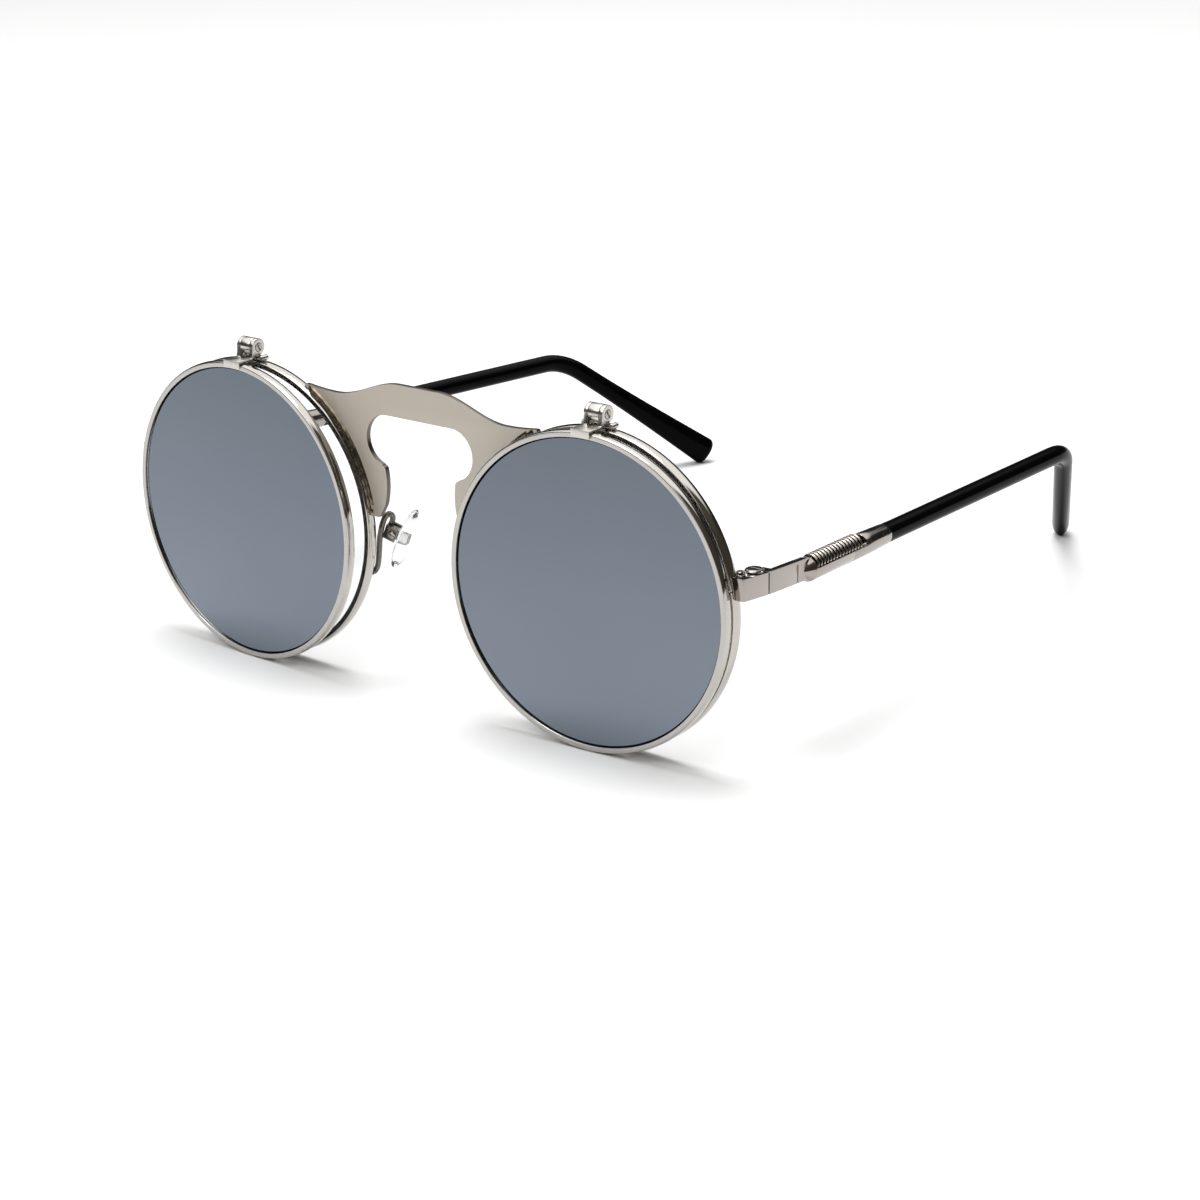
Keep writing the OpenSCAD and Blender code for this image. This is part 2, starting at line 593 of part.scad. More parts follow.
// Centre line of the spring: a straight end, the turns, and a straight end
coil_r = spring_r - spring_wire_d / 2;
coil_turn_in = 0.22;
coil_end = spring_wire_d + coil_turn_in;
coil_steps = round(spring_turns * 8);
function coil_point(i) =
    let(u = i / coil_steps, a = 360 * spring_turns * u)
    [coil_r * cos(a), spring_start + coil_end + (spring_l - 2 * coil_end) * u, spring_lift + coil_r * sin(a)];
coil_first = coil_point(0);
coil_last = coil_point(coil_steps);
coil_path = concat(
    [for (y = [spring_start, spring_start + spring_wire_d]) [coil_first[0], y, coil_first[2]]],
    [for (i = [0:coil_steps]) coil_point(i)],
    [for (y = [sleeve_start - spring_wire_d, sleeve_start]) [coil_last[0], y, coil_last[2]]]
);
coil_centres = min([
    for (i = [0:len(coil_path) - 7]) for (j = [i + 6:len(coil_path) - 1]) norm(coil_path[i] - coil_path[j])
]);
echo(least_gap_of_the_spring_to_itself = coil_centres - spring_wire_d);

// Directions for the rings: along the coil they turn with it
function coil_ring(i) =
    let(
        last = len(coil_path) - 1,
        t = i < 2 || i > last - 2 ? [0, 1, 0] : heading(coil_path, i),
        out = unit([coil_path[i][0], 0, coil_path[i][2] - spring_lift]),
        w = unit(out - (out * t) * t),
        s = cross(t, w)
    )
    [for (k = [0:5]) coil_path[i] + spring_wire_d / 2 * (w * cos(60 * k) + s * sin(60 * k))];

module coil_spring(s) color("lightgray") at_temple(s)
    skin([for (i = [0:len(coil_path) - 1]) coil_ring(i)]);

// Sleeve that holds the tip, with the back part of the spring's trough in front of it
sleeve_r = trough_r - 0.04;
sleeve_round = 0.25;
module spring_sleeve(s) color([0.80, 0.79, 0.77]) at_temple(s) difference() {
    lathe(0) polygon([
        [0, seam_y], [sleeve_r, seam_y], [sleeve_r, sleeve_start + 2],
        [sleeve_end_r, sleeve_end - sleeve_round], [sleeve_end_r - sleeve_round, sleeve_end], [0, sleeve_end]
    ]);
    spring_channel(seam_y - 1, sleeve_start);
    translate([0, sleeve_start - 1, core_lift]) rod_y(core_r + pin_gap, sleeve_l + 2);
}

module core_wire(s) color("gray") at_temple(s) translate([0, block_l, core_lift])
    rod_y(core_r, sleeve_end + core_reach - block_l);

module temple_tip(s) color([0.04, 0.04, 0.045]) at_temple(s) difference() {
    skin(tip_rings(tip_drop));
    translate([0, sleeve_end - 1, core_lift]) rod_y(core_r + pin_gap, core_reach + 1.3);
}

// Nose pads: X points from the pad to its rim, Y back across the pad, Z up along it
pad_lean = 24;
pad_splay = 18;
pad_pivot = 2.2;
pad_x = eye_x - fixed_r - pad_reach;
pad_y = fixed_front + pad_setback;
pad_z = eye_z - pad_drop;
module at_pad(s) on_side(s) translate([pad_x, pad_y, pad_z])
    rotate([0, -pad_lean, 0]) rotate([0, 0, -pad_splay]) children();
function by_pad(p) =
    let(q = turn_z(p, -pad_splay), c = cos(pad_lean), n = sin(pad_lean))
    [q[0] * c - q[2] * n, q[1], q[0] * n + q[2] * c] + [pad_x, pad_y, pad_z];

// The pad is an egg-shaped cushion, built up from rings from its bottom to its top
pad_rows = 12;
pad_sides = 20;
pad_taper = 0.16;
function pad_ring(a) =
    let(k = pow(cos(a), 0.75), t = pad_t / 2 * k, w = pad_w / 2 * k * (1 - pad_taper * sin(a)))
    [for (j = [0:pad_sides - 1]) let(b = 360 * j / pad_sides) [t * cos(b), w * sin(b), pad_h / 2 * sin(a)]];
module nose_pad(s) color([0.95, 0.97, 0.98, 0.4]) at_pad(s) difference() {
    skin([for (i = [0:pad_rows]) pad_ring(-86 + 172 * i / pad_rows)]);
    translate([lug_root - pin_gap, -lug_t / 2 - pin_gap, -lug_h / 2 - pin_gap])
        cube([pad_t, lug_t + 2 * pin_gap, lug_h + 2 * pin_gap]);
}

// Stiff lug moulded into the pad's back, with an eye for the pad's screw
lug_t = 1;
lug_h = 1.8;
lug_root = 0.2;
module pad_lug(s) color("white") at_pad(s) difference() {
    union() {
        translate([lug_root, -lug_t / 2, -lug_h / 2]) cube([pad_pivot - lug_root, lug_t, lug_h]);
        translate([pad_pivot, -lug_t / 2, 0]) rod_y(lug_h / 2, lug_t);
    }
    translate([pad_pivot, -lug_t, 0]) rod_y(pad_screw_r + pin_gap, 2 * lug_t);
}

// Small metal cup that holds the lug between its cheeks
cheek_gap = 0.08;
cheek_t = 0.4;
box_front = 1.5;
box_back = 3.25;
box_h = 2.6;
pad_screw_r = 0.35;
box_half = lug_t / 2 + cheek_gap + cheek_t;
module pad_box(s) color("silver") at_pad(s) difference() {
    translate([box_front, -box_half, -box_h / 2])
        cube([box_back + cheek_t - box_front, 2 * box_half, box_h]);
    translate([box_front - 1, -lug_t / 2 - cheek_gap, -box_h])
        cube([box_back + 1 - box_front, lug_t + 2 * cheek_gap, 2 * box_h]);
    translate([pad_pivot, -2 * box_half, 0]) rod_y(pad_screw_r + pin_gap / 2, 4 * box_half);
}

module pad_screws() color("gray") for (s = [-1, 1]) at_pad(s) {
    translate([pad_pivot, -box_half, 0]) rod_y(pad_screw_r, 2 * box_half);
    translate([pad_pivot, -box_half, 0]) rotate([90, 0, 0]) slotted_head(0.65, 0.35, 0.18);
}

// Wire arm, brazed to the rim's back below the pad. It climbs beside the rim, turns over in a
// loop and comes down on the pad's cup. Its ends are straight stubs, so they meet squarely.
arm_stub = 0.3;
arm_foot_drop = 7.6;
arm_rim_r = fixed_r - fixed_rim_w / 2;
arm_foot_x = eye_x - sqrt(arm_rim_r * arm_rim_r - arm_foot_drop * arm_foot_drop);
arm_foot = [arm_foot_x, fixed_back + braze_gap, eye_z - arm_foot_drop];
arm_top = by_pad([box_back - 0.1, 0, box_h / 2 + braze_gap]);
arm_top_way = by_pad([0, 0, 1]) - by_pad([0, 0, 0]);
arm_path = concat([arm_foot], smooth([
    arm_foot + [0, arm_stub, 0],
    arm_foot + [-0.1, 0.9, 0.15],
    arm_foot + [-0.6, 1.15, 1.6],
    arm_top + [0.85, -2, -2],
    arm_top + [0.35, -1.5, 0.8],
    arm_top + [-0.25, -0.9, 1.9],
    arm_top + [-0.35, 0, 1.2],
    arm_top + arm_top_way * arm_stub
], 4), [arm_top]);
module pad_arm(s) color("silver") on_side(s)
    skin([for (i = [0:len(arm_path) - 1]) ring(arm_path, i, [arm_r, arm_r], 10, [1, 0.3, 0.1])]);

rear_rim(1);  // rear_rim_left
rear_rim(-1);  // rear_rim_right
clear_lens(1);  // clear_lens_left
clear_lens(-1);  // clear_lens_right
bridge_plate();
end_piece(1);  // end_piece_left
end_piece(-1);  // end_piece_right
closing_barrels(1);  // closing_barrels_left
closing_barrels(-1);  // closing_barrels_right
closing_screws();
temple_hinge_screws();
flip_knuckle(1);  // flip_knuckle_left
flip_knuckle(-1);  // flip_knuckle_right
flip_pins();
pad_arm(1);  // pad_arm_left
pad_arm(-1);  // pad_arm_right
pad_box(1);  // pad_box_left
pad_box(-1);  // pad_box_right
pad_screws();
nose_pad(1);  // nose_pad_left
nose_pad(-1);  // nose_pad_right
pad_lug(1);  // pad_lug_left
pad_lug(-1);  // pad_lug_right
flip_rim(1);  // flip_rim_left
flip_rim(-1);  // flip_rim_right
mirror_lens(1);  // mirror_lens_left
mirror_lens(-1);  // mirror_lens_right
flip_clevis(1);  // flip_clevis_left
flip_clevis(-1);  // flip_clevis_right
temple_block(1);  // temple_block_left
temple_block(-1);  // temple_block_right
coil_spring(1);  // coil_spring_left
coil_spring(-1);  // coil_spring_right
spring_sleeve(1);  // spring_sleeve_left
spring_sleeve(-1);  // spring_sleeve_right
core_wire(1);  // core_wire_left
core_wire(-1);  // core_wire_right
temple_tip(1);  // temple_tip_left
temple_tip(-1);  // temple_tip_right
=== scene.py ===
import math

import bmesh
import bpy
from mathutils import Matrix, Vector


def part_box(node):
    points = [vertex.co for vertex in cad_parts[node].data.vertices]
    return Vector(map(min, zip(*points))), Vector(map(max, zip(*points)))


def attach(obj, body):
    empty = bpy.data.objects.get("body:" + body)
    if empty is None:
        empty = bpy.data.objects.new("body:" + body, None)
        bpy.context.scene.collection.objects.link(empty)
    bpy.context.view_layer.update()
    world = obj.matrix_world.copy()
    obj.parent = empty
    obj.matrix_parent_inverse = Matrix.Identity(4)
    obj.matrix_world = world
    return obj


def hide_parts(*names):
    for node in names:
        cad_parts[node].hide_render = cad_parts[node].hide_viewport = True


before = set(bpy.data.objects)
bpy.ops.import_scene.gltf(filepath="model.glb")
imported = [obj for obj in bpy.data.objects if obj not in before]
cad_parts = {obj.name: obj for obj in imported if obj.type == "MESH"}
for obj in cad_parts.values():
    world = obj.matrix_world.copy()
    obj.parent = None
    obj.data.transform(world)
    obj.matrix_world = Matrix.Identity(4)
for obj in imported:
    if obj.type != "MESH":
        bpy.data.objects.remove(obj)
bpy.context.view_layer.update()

# Stage.
# A round sheet of white card under two softboxes, one overhead and one in front, in a room
# that is dark near the horizon and on the right. The dark draws the black lines on the metal.
MM = 0.001


def colour(code):
    """Linear colour of an sRGB hex code."""
    parts = [int(code[i : i + 2], 16) / 255 for i in (1, 3, 5)]
    return [c / 12.92 if c <= 0.04045 else ((c + 0.055) / 1.055) ** 2.4 for c in parts] + [1]


def add(tree, kind, settings=None, **links):
    """Adds a shader node with its settings and links.

    A setting is one of the node's own properties, or the value of an input by name or number.
    A link gives its input's name with underscores for spaces, or its number as _0, _1, _2.
    """
    made = tree.nodes.new(kind)
    for key, value in (settings or {}).items():
        if isinstance(key, str) and hasattr(made, key):
            setattr(made, key, value)
        else:
            made.inputs[key].default_value = value
    for key, source in links.items():
        number = key[1:]
        socket = made.inputs[int(number) if number.isdigit() else key.replace("_", " ")]
        tree.links.new(source, socket)
    return made


def new_material(name):
    """A material, its node tree, its Principled shader and its object coordinates."""
    made = bpy.data.materials.new(name)
    made.use_nodes = True
    tree = made.node_tree
    tree.nodes.clear()
    shader = add(tree, "ShaderNodeBsdfPrincipled")
    add(tree, "ShaderNodeOutputMaterial", Surface=shader.outputs[0])
    place = add(tree, "ShaderNodeTexCoord").outputs["Object"]
    return made, tree, shader, place


paper, tree, shader, place = new_material("white_card")
shader.inputs["Base Color"].default_value = colour("#DCDCDC")
shader.inputs["Roughness"].default_value = 0.65
shader.inputs["Specular IOR Level"].default_value = 0.2
# Felted fibres about a millimetre long, raised by a tenth of one.
fibre = add(tree, "ShaderNodeTexNoise", {"Scale": 900, "Detail": 4}, Vector=place)
lift = add(
    tree, "ShaderNodeBump", {"Strength": 0.05, "Distance": 0.1 * MM}, Height=fibre.outputs[0]
)
tree.links.new(lift.outputs[0], shader.inputs["Normal"])

# The card is centred under the overhead softbox and ends where that lights it well, so its
# edge melts into the white behind.
overhead = Vector((-0.12, 0.06, 1.1))
bpy.ops.mesh.primitive_circle_add(
    vertices=96, radius=0.8, fill_type="NGON", location=(overhead.x, overhead.y, 0)
)
floor = bpy.context.object
floor.name = "card_floor"
floor.data.materials.append(paper)

world = bpy.data.worlds.new("studio")
bpy.context.scene.world = world
world.use_nodes = True
tree = world.node_tree
tree.nodes.clear()
aim = add(tree, "ShaderNodeTexCoord").outputs["Generated"]
axes = add(tree, "ShaderNodeSeparateXYZ", Vector=aim)
# Brightness of the room by height: dark up to 25 degrees, then white walls and ceiling.
ramp = add(tree, "ShaderNodeValToRGB", Fac=axes.outputs["Z"])
ramp.color_ramp.interpolation = "EASE"
stops = ramp.color_ramp.elements
stops[0].position, stops[0].color = 0.0, (0.02, 0.02, 0.02, 1)
stops[1].position, stops[1].color = 0.68, (1.0, 1.0, 1.0, 1)
for position, level in ((0.42, 0.02), (0.5, 0.5), (0.56, 0.85)):
    stops.new(position).color = (level, level, level, 1)
# The right side of the room is dark up to the ceiling.
side = add(
    tree,
    "ShaderNodeMapRange",
    {
        "interpolation_type": "SMOOTHSTEP",
        "From Min": 0.38,
        "From Max": 0.52,
        "To Min": 1.0,
        "To Max": 0.02,
    },
    Value=axes.outputs["X"],
)
lit = add(
    tree,
    "ShaderNodeMix",
    {"data_type": "RGBA", 6: colour("#3C3730")},
    Factor=side.outputs[0],
    _7=ramp.outputs[0],
)
room = add(tree, "ShaderNodeBackground", {"Strength": 1.6}, Color=lit.outputs[2])
# The camera itself sees plain white behind the card.
plain = add(tree, "ShaderNodeBackground", {"Color": (1, 1, 1, 1), "Strength": 1.0})
seen = add(tree, "ShaderNodeLightPath").outputs["Is Camera Ray"]
mix = add(tree, "ShaderNodeMixShader", _0=seen, _1=room.outputs[0], _2=plain.outputs[0])
add(tree, "ShaderNodeOutputWorld", Surface=mix.outputs[0])

for name, spot, size, power in (
    ("softbox_above", overhead, 0.45, 9.5),
    ("softbox_front", Vector((-0.3, -0.8, 0.9)), 0.7, 3),
):
    light = bpy.data.lights.new(name, "AREA")
    light.size = size
    light.energy = power
    holder = bpy.data.objects.new(name, light)
    holder.location = spot
    holder.rotation_mode = "QUATERNION"
    holder.rotation_quaternion = (-spot).to_track_quat("-Z", "Y")
    bpy.context.scene.collection.objects.link(holder)
bpy.context.scene.view_settings.view_transform = "Standard"

# Camera.
# It stands where the photograph was taken from, which the lens circles and the temples
# give. Depths in this file are in millimetres back from the mirrored lenses' faces at the
# middle of the eye, as the frame is dimensioned, and face_y is where those lie in the CAD.
rim_y = 3.2
face_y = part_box("rear_rim_left")[0].y / MM - rim_y

focal_pixels, photo_pixels = 2797.4, 1200
camera = bpy.data.cameras.new("camera")
camera.sensor_width = 36
camera.lens = focal_pixels / photo_pixels * camera.sensor_width
camera.clip_start = 0.01
viewpoint = bpy.data.objects.new("camera", camera)
turn, tilt, roll = (math.radians(a) for a in (38.398, 19.224, -0.995))
distance = 426.088
back = Vector(
    (math.sin(turn) * math.cos(tilt), -math.cos(turn) * math.cos(tilt), math.sin(tilt))
)
across = Vector((math.cos(turn), math.sin(turn), 0))
upright = back.cross(across)
right = across * math.cos(roll) + upright * math.sin(roll)
up = upright * math.cos(roll) - across * math.sin(roll)
target = Vector((39.503, face_y, 25.397)) * MM
viewpoint.matrix_world = (
    Matrix.Translation(target + back * distance * MM)
    @ Matrix((right, up, back)).transposed().to_4x4()
)
bpy.context.scene.collection.objects.link(viewpoint)
bpy.context.scene.camera = viewpoint

# Fixed rims.
# Eyewire of nickel-plated nickel silver, drawn with a lens groove, bent round and
# polished. Each is split beside its end piece so that the closing screw can pull it shut.
# The wearer's left is at +X, and the right side is its mirror image.
SIDES = (("left", 1), ("right", -1))
eye_x, eye_z = 36.7, 25.8


def loft(rings, closed=False):
    """Skin over a row of equal rings: points, faces and the numbers of its flat end faces."""
    n, last = len(rings[0]), len(rings) - 1
    faces = []
    for i in range(len(rings) if closed else last):
        j = (i + 1) % len(rings)
        for k in range(n):
            m = (k + 1) % n
            faces.append([i * n + k, i * n + m, j * n + m, j * n + k])
    flat = []
    if not closed:
        flat = [len(faces), len(faces) + 1]
        faces += [list(range(n)), [last * n + k for k in range(n)]]
    return [p for ring in rings for p in ring], faces, flat


def lathe(profile, y, steps=360, start=0, stop=360):
    """Turns (radius, depth) points round the middle of the eye, at depth y."""
    full = stop - start == 360
    rings = []
    for i in range(steps if full else steps + 1):
        a = math.radians(start + (stop - start) * i / steps)
        rings.append(
            [(eye_x + r * math.cos(a), y + d, eye_z + r * math.sin(a)) for r, d in profile]
        )
    return loft(rings, closed=full)


def arc(u, v, r, start, stop, steps):
    """Points on a circle of radius r round (u, v), between two angles in degrees."""
    turns = [math.radians(start + (stop - start) * i / steps) for i in range(steps + 1)]
    return [(u + r * math.cos(a), v + r * math.sin(a)) for a in turns]


def finish(obj, material, body, slot, *nodes):
    """Puts an object in the scene with its material, on its body, in place of its CAD nodes."""
    bpy.context.scene.collection.objects.link(obj)
    obj.data.materials.append(material)
    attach(obj, body)
    if nodes:
        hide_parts(*nodes)
    return obj


def make(name, side, part, material, body, slot, *nodes, smooth=40):
    """An object from a part in millimetres, drawn as for the left; side is 1 or -1.

    Edges that turn by more than smooth degrees stay sharp.
    """
    points, faces, flat = part
    mesh = bpy.data.meshes.new(name)
    mesh.from_pydata(
        [(side * x * MM, (y + face_y) * MM, z * MM) for x, y, z in points], [], faces
    )
    for i, face in enumerate(mesh.polygons):
        face.use_smooth = i not in flat
    bm = bmesh.new()
    bm.from_mesh(mesh)
    bmesh.ops.remove_doubles(bm, verts=bm.verts, dist=1e-7)
    bmesh.ops.dissolve_degenerate(bm, edges=bm.edges, dist=1e-8)
    bmesh.ops.recalc_face_normals(bm, faces=bm.faces)
    bm.to_mesh(mesh)
    bm.free()
    mesh.set_sharp_from_angle(angle=math.radians(smooth))
    return finish(bpy.data.objects.new(name, mesh), material, body, slot, *nodes)


def nickel(name, code, roughness, patch, grain, depth, metallic=1):
    """Nickel plate: its roughness drifts between two values in patches, and it has a grain.

    patch and grain are sizes in millimetres, and depth is the grain's height in millimetres.
    """
    low, high = roughness
    made, tree, shader, place = new_material(name)
    shader.inputs["Base Color"].default_value = colour(code)
    shader.inputs["Metallic"].default_value = metallic
    haze = add(tree, "ShaderNodeTexNoise", {"Scale": 1000 / patch, "Detail": 3}, Vector=place)
    gloss = add(
        tree,
        "ShaderNodeMapRange",
        {"From Min": 0.3, "From Max": 0.7, "To Min": low, "To Max": high},
        Value=haze.outputs[0],
    )
    tree.links.new(gloss.outputs[0], shader.inputs["Roughness"])
    rub = add(tree, "ShaderNodeTexNoise", {"Scale": 1000 / grain, "Detail": 2}, Vector=place)
    lift = add(
        tree, "ShaderNodeBump", {"Strength": 0.3, "Distance": depth * MM}, Height=rub.outputs[0]
    )
    tree.links.new(lift.outputs[0], shader.inputs["Normal"])
    return made


def crowned(r, low, high):
    """A rim's outer wall, bowed to lean 22 degrees at its edges, and the edges' rounds."""
    lean, easing = 22, 0.15
    slope = math.sin(math.radians(lean))
    middle, half = (low + high) / 2, (high - low) / 2
    bow = (half - easing) / slope
    edge = easing / (1 - slope)
    u, v = (bow - edge) * math.cos(math.radians(lean)), (bow - edge) * slope
    return (
        arc(r - bow + u, middle - v, edge, -90, -lean, 5)
        + arc(r - bow, middle, bow, -lean, lean, 10)
        + arc(r - bow + u, middle + v, edge, lean, 90, 5)
    )


# Buffed plate: near-mirror, with a faint haze of handling in patches a few millimetres wide.
polished = nickel(
    "buffed_nickel_plate", "#B9B5AF", (0.04, 0.09), patch=4, grain=0.25, depth=0.0002
)
rim_r, rim_deep, rim_bore = 25.69, 2.0, 24.5
groove, groove_half, lip_round = 0.45, 0.75, 0.15
rim_profile = (
    crowned(rim_r, 0, rim_deep)
    + arc(rim_bore + lip_round, rim_deep - lip_round, lip_round, 90, 180, 3)
    + [
        (rim_bore, rim_deep / 2 + groove_half),
        (rim_bore + groove, rim_deep / 2),
        (rim_bore, rim_deep / 2 - groove_half),
    ]
    + arc(rim_bore + lip_round, lip_round, lip_round, 180, 270, 3)
)
# The split is level with the temple hinge, and 0.25 mm wide.
hinge_h = 4.4
split = math.degrees(math.asin(hinge_h / 25.7))
split_half = 0.28
for name, s in SIDES:
    ring = lathe(
        rim_profile, rim_y, start=split + split_half, stop=split + 360 - split_half, steps=420
    )
    make("fixed_rim_" + name, s, ring, polished, "frame", "polished_nickel", "rear_rim_" + name)

# Clear lenses.
# Flat blanks of clear CR-39 resin, edged to a bevel that snaps into the rim's groove. The
# faces are polished and coated against reflections, which a lower IOR than the resin's own
# 1.5 stands for. A little dust and smudge keeps them from looking like empty air.
clear_resin, tree, shader, place = new_material("clear_cr39_resin")
shader.inputs["Transmission Weight"].default_value = 1
shader.inputs["IOR"].default_value = 1.33
# Smudges of about 4 mm, with specks of dust in them.
dust = add(tree, "ShaderNodeTexNoise", {"Scale": 260, "Detail": 6, "Roughness": 0.7}, Vector=place)
gloss = add(
    tree,
    "ShaderNodeMapRange",
    {"From Min": 0.5, "From Max": 0.85, "To Min": 0.0, "To Max": 0.02},
    Value=dust.outputs[0],
)
tree.links.new(gloss.outputs[0], shader.inputs["Roughness"])
smudge = add(
    tree,
    "ShaderNodeMix",
    {"data_type": "RGBA", 6: colour("#FDFEFE"), 7: colour("#F3F5F5")},
    Factor=dust.outputs[0],
)
tree.links.new(smudge.outputs[2], shader.inputs["Base Color"])
clear_y, clear_t, clear_r, clear_bevel = 3.45, 1.5, 24.46, 0.41
clear_profile = [
    (0, 0),
    (clear_r, 0),
    (clear_r + clear_bevel, clear_t / 2),
    (clear_r, clear_t),
    (0, clear_t),
]
for name, s in SIDES:
    blank = lathe(clear_profile, clear_y)
    make(
        "clear_lens_piece_" + name,
        s,
        blank,
        clear_resin,
        "frame",
        "clear_lens",
        "clear_lens_" + name,
    )

# Bridge plate.
# Stamped from 0.9 mm nickel-silver sheet, satin-finished on its face, with eased edges. It
# is brazed to both rims along its curved sides. Its outline is in millimetres from the
# middle of the nose and up from the middles of the eyes.
plate_y, plate_t, plate_edge = 3.95, 0.9, 0.08
plate_r = 25.72
arm_end, arm_end_r = 2.9, 0.8
notch_z, notch_r = 11.2, 0.7
lobe_x, lobe_z, lobe_r, lobe_start = 6.9, 16.2, 4.3, -73.9


def inset(outline, by):
    """A closed outline moved inwards, its points in anticlockwise order."""
    moved = []
    for i, p in enumerate(outline):
        a, b = Vector(outline[i - 1]), Vector(outline[(i + 1) % len(outline)])
        p = Vector(p)
        first, second = (p - a).normalized(), (b - p).normalized()
        normal = Vector((-first.y - second.y, first.x + second.x))
        normal = normal.normalized() if normal.length > 1e-6 else Vector((-first.y, first.x))
        reach = max(0.5, normal.dot(Vector((-first.y, first.x))))
        moved.append(tuple(p + normal * by / reach))
    return moved


def sheet_metal(outline, front, depth, edge):
    """A slab of the outline's shape behind its front, with both its edges rounded."""
    area = sum(a[0] * b[1] - b[0] * a[1] for a, b in zip(outline, outline[1:] + outline[:1]))
    outline = outline if area > 0 else outline[::-1]
    turns = [math.radians(22.5 * i) for i in range(5)]
    rings = []
    for face, way in ((front, 1), (front + depth, -1)):
        for a in turns[::way]:
            y = face + way * edge * (1 - math.cos(a))
            ring = inset(outline, edge * (1 - math.sin(a)))
            rings.append([(u, y, eye_z + v) for u, v in ring])
    return loft(rings)


def plate_top(x):
    """Height of the top edge: level over the nose, then a fall and a rise to the rim."""
    level, fall, height, drop = 4, 14, 26, 3.3
    u = max(0.0, min(1.0, (x - level) / fall))
    rise = 0.012 * max(0.0, x - level - fall) ** 2
    return height - drop * (1 - math.cos(math.pi * u)) / 2 + rise


def arm_edge(z):
    """Distance of an arm's inner edge from the middle: 7.2 mm at the waist, then a curve out."""
    return 7.2 + 0.04 * (z - 9) ** 2


def plate_half():
    """Half of the outline, from the middle of the top edge to the middle of the opening."""
    step, corner = 0.5, 24.5
    line = [(step * i, plate_top(step * i)) for i in range(int(corner / step))]
    line += [(corner, plate_top(corner) - 0.1)]
    # The brazed side, down along the rim from the corner to the arm's end.
    ends = (24.72, 22.75), (11.14, arm_end)
    start, stop = (math.degrees(math.atan2(z, x - eye_x)) for x, z in ends)
    line += arc(eye_x, 0, plate_r, start, stop, 40)
    # Round the arm's end, up its inner edge, and out at the notch into the opening's lobe.
    low = arm_end + arm_end_r
    line += arc(arm_edge(arm_end) + arm_end_r, low, arm_end_r, -90, -180, 6)
    heights = [low + (notch_z - low) * i / 15 for i in range(3, 15)]
    line += [(arm_edge(z), z) for z in heights]
    line += arc(arm_edge(notch_z) + notch_r, notch_z, notch_r, 170, 90, 6)
    line += arc(lobe_x, lobe_z, lobe_r, lobe_start, 90, 30)
    return line


# Satin plate: the reflections of the card spread to an even warm grey.
satin = nickel(
    "satin_nickel_plate",
    "#C1B9AD",
    (0.5, 0.58),
    patch=6,
    grain=0.12,
    depth=0.0008,
    metallic=0.4,
)
# The sheared edges are duller than the face, and painted darker as painted shade for the dark
# reflections that run along them.
edge_shade = nickel(
    "dark_painted_nickel_edge", "#6A655F", (0.25, 0.4), patch=2, grain=0.15, depth=0.001
)
half = plate_half()
outline = half + [(-x, z) for x, z in half[:0:-1]]
plate = sheet_metal(outline, plate_y, plate_t, plate_edge)
sheet = make("bridge_plate_piece", 1, plate, satin, "frame", "satin_nickel", "bridge_plate")
sheet.data.materials.append(edge_shade)
# Every face that doesn't look straight to the front or back belongs to the sheared edge and takes
# its painted shade.
for face in sheet.data.polygons:
    if abs(face.normal.y) < 0.98:
        face.material_index = 1

# Braze fillets.
# Silver braze drawn by the flame into the corner between the plate's face and each rim. It
# is a little brown and lies in uneven ripples, as hand-fed braze does: waves 12, 4 and
# 1.7 mm long along the rim.
braze = nickel(
    "rippled_silver_braze", "#857A69", (0.14, 0.3), patch=0.8, grain=0.6, depth=0.01
)
braze_r, braze_start, braze_turn = 25.68, 119.5, 53
steps, fade_steps = 160, 8
rings = []
for i in range(steps + 1):
    a = math.radians(braze_start + braze_turn * i / steps)
    ripple = 0.03 * math.sin(41 * a) + 0.02 * math.sin(97 * a + 1) + 0.04 * math.sin(13 * a)
    fade = min(1, i / fade_steps, (steps - i) / fade_steps)
    foot, height = 0.55 * (1.15 + ripple) * fade, (0.52 + 0.5 * ripple) * fade
    section = [
        (0, 0.05),
        (0, -height),
        (0.25, -0.95 * height),
        (0.42, -0.6 * height),
        (0.62, -0.68 * height),
        (0.82, -0.5 * height),
        (0.45 + foot, -0.1 * height),
        (0.5 + foot, 0.05),
    ]
    ring = []
    for u, v in section:
        r = braze_r + u
        ring.append((eye_x + r * math.cos(a), plate_y + v, eye_z + r * math.sin(a)))
    rings.append(ring)
fillet = loft(rings)
for name, s in SIDES:
    make("braze_fillet_" + name, s, fillet, braze, "frame", "satin_nickel", smooth=75)

# Flip rims.
# The same eyewire, a little shallower, with a flat lip in front that is left satin. Each
# stands turned a few degrees round the face and carries a mirrored lens.
wrap = math.radians(3.2)


def wrapped(part):
    """Turns a part round the upright line through the middle of the eye."""
    points, faces, flat = part
    turned = []
    for x, y, z in points:
        u = x - eye_x
        across = u * math.cos(wrap) - y * math.sin(wrap)
        turned.append((eye_x + across, u * math.sin(wrap) + y * math.cos(wrap), z))
    return turned, faces, flat


flip_r, flip_front, flip_back, flip_bore = 25.79, -0.45, 1.25, 24.75
lens_t, front_round = 0.9, 0.1
flip_profile = (
    crowned(flip_r, flip_front, flip_back)
    + arc(flip_bore + lip_round, flip_back - lip_round, lip_round, 90, 180, 3)
    + [(flip_bore, lens_t), (flip_bore + groove, lens_t / 2), (flip_bore, 0.0)]
    + arc(flip_bore + front_round, flip_front + front_round, front_round, 180, 270, 3)
)
